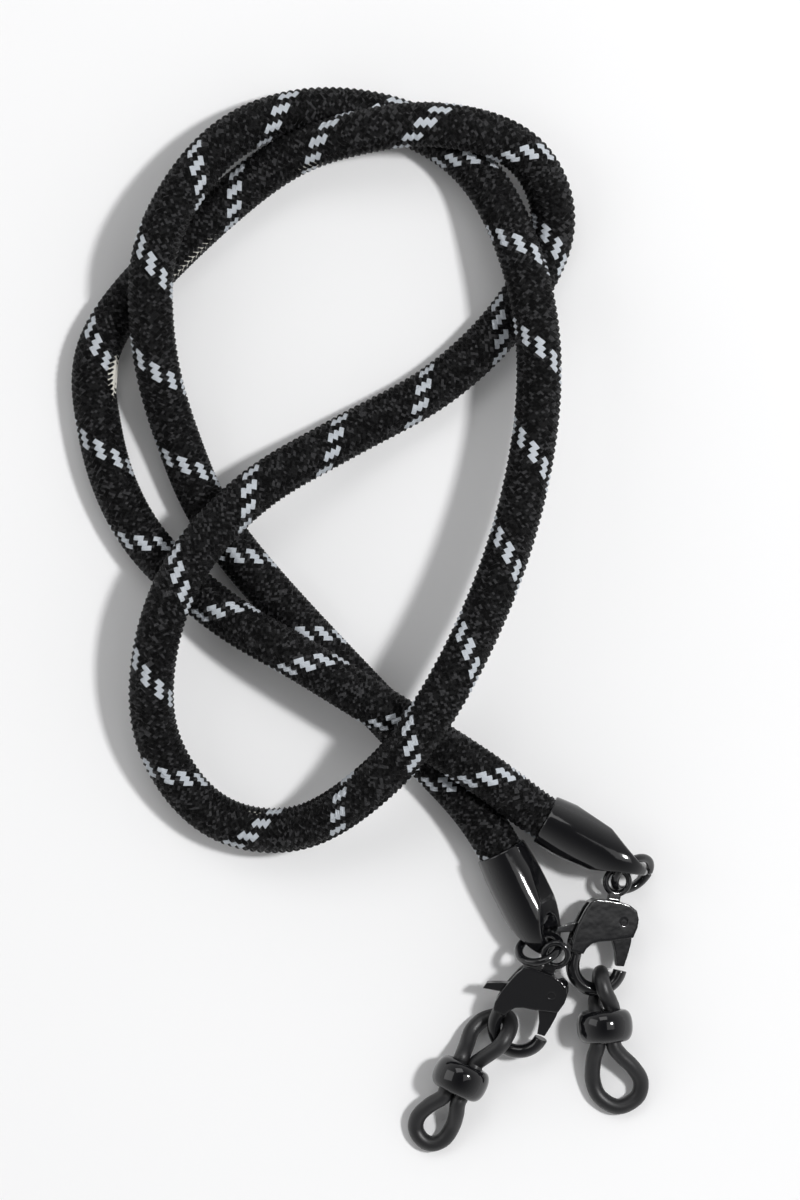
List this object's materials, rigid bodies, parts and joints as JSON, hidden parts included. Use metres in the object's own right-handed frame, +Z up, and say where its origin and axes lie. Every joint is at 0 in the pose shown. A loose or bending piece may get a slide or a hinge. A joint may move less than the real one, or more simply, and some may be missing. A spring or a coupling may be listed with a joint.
{
  "type": "eyeglass retainer strap",
  "caption": "Braided cord strap for eyeglasses, with glossy end caps, jump rings, lobster clasps and rubber temple loops with slider beads.",
  "frame": {"origin": "bottom centre of the box round the end hardware, on the surface that the strap lies on", "axes": "+Z up from the surface, +Y from the hardware towards the cord, +X to the right seen from above"},
  "size_m": [0.0915, 0.1684, 0.0221],
  "materials": {
    "braid": "tight round braid of glossy filament yarns, black with white tracer yarns",
    "core_yarn": "undyed filler yarns, hidden",
    "black_metal": "glossy black plating on cast metal",
    "adhesive": "cured adhesive, hidden",
    "spring_steel": "bright spring wire",
    "black_rubber": "satin moulded rubber cord",
    "gloss_black": "polished black bead"
  },
  "bodies": {
    "strap": {"cord_sheath": "braid", "cord_core": "core_yarn", "end_cap_a": "black_metal", "glue_plug_a": "adhesive", "end_cap_b": "black_metal", "glue_plug_b": "adhesive"},
    "ring_a": {"jump_ring_a": "black_metal"},
    "clasp_a": {"clasp_body_a": "black_metal", "lever_pin_a": "black_metal", "lever_spring_a": "spring_steel"},
    "lever_a": {"clasp_lever_a": "black_metal"},
    "loop_a": {"rubber_loop_a": "black_rubber"},
    "bead_a": {"slider_bead_a": "gloss_black"},
    "ring_b": {"jump_ring_b": "black_metal"},
    "clasp_b": {"clasp_body_b": "black_metal", "lever_pin_b": "black_metal", "lever_spring_b": "spring_steel"},
    "lever_b": {"clasp_lever_b": "black_metal"},
    "loop_b": {"rubber_loop_b": "black_rubber"},
    "bead_b": {"slider_bead_b": "gloss_black"}
  },
  "joints": [
    {"name": "ring_a_swing", "type": "hinge", "parent": "strap", "child": "ring_a", "pos_m": [0.00171, 0.00632, 0.00428], "axis": [0.7719, 0.3731, 0.5147], "range_deg": [-12, 3]},
    {"name": "clasp_a_turn", "type": "hinge", "parent": "ring_a", "child": "clasp_a", "pos_m": [0.0011, 0.00415, 0.0063], "axis": [-0.2335, 0.7637, 0.6018], "range_deg": [-40, 4]},
    {"name": "lever_a_open", "type": "hinge", "parent": "clasp_a", "child": "lever_a", "pos_m": [0.00316, -0.00294, 0.00643], "axis": [0.1108, 0.2376, -0.965], "range_deg": [0, 20], "stiffness_Nm_per_rad": 0.002},
    {"name": "loop_a_lift", "type": "hinge", "parent": "clasp_a", "child": "loop_a", "pos_m": [-0.00598, -0.00881, 0.00393], "axis": [-0.0913, 0.9693, 0.2282], "range_deg": [0, 15]},
    {"name": "bead_a_slide", "type": "slide", "parent": "loop_a", "child": "bead_a", "axis": [-0.4226, -0.9063, 0], "range_m": [0, 0.001]},
    {"name": "ring_b_swing", "type": "hinge", "parent": "strap", "child": "ring_b", "pos_m": [0.01507, 0.01755, 0.0055], "axis": [0.4695, 0.8829, 0], "range_deg": [-5, 25]},
    {"name": "clasp_b_turn", "type": "hinge", "parent": "ring_b", "child": "clasp_b", "pos_m": [0.0135, 0.01455, 0.0044], "axis": [0.2028, -0.0457, 0.9781], "range_deg": [-1, 60]},
    {"name": "lever_b_open", "type": "hinge", "parent": "clasp_b", "child": "lever_b", "pos_m": [0.01418, 0.00825, 0.00396], "axis": [-0.2028, 0.0457, -0.9781], "range_deg": [0, 20], "stiffness_Nm_per_rad": 0.002},
    {"name": "loop_b_lift", "type": "hinge", "parent": "clasp_b", "child": "loop_b", "pos_m": [0.01095, -0.00247, 0.00413], "axis": [-0.9611, -0.2003, 0.1899], "range_deg": [0, 50]},
    {"name": "bead_b_slide", "type": "slide", "parent": "loop_b", "child": "bead_b", "axis": [0.0523, -0.9986, 0], "range_m": [0, 0.0008]}
  ]
}
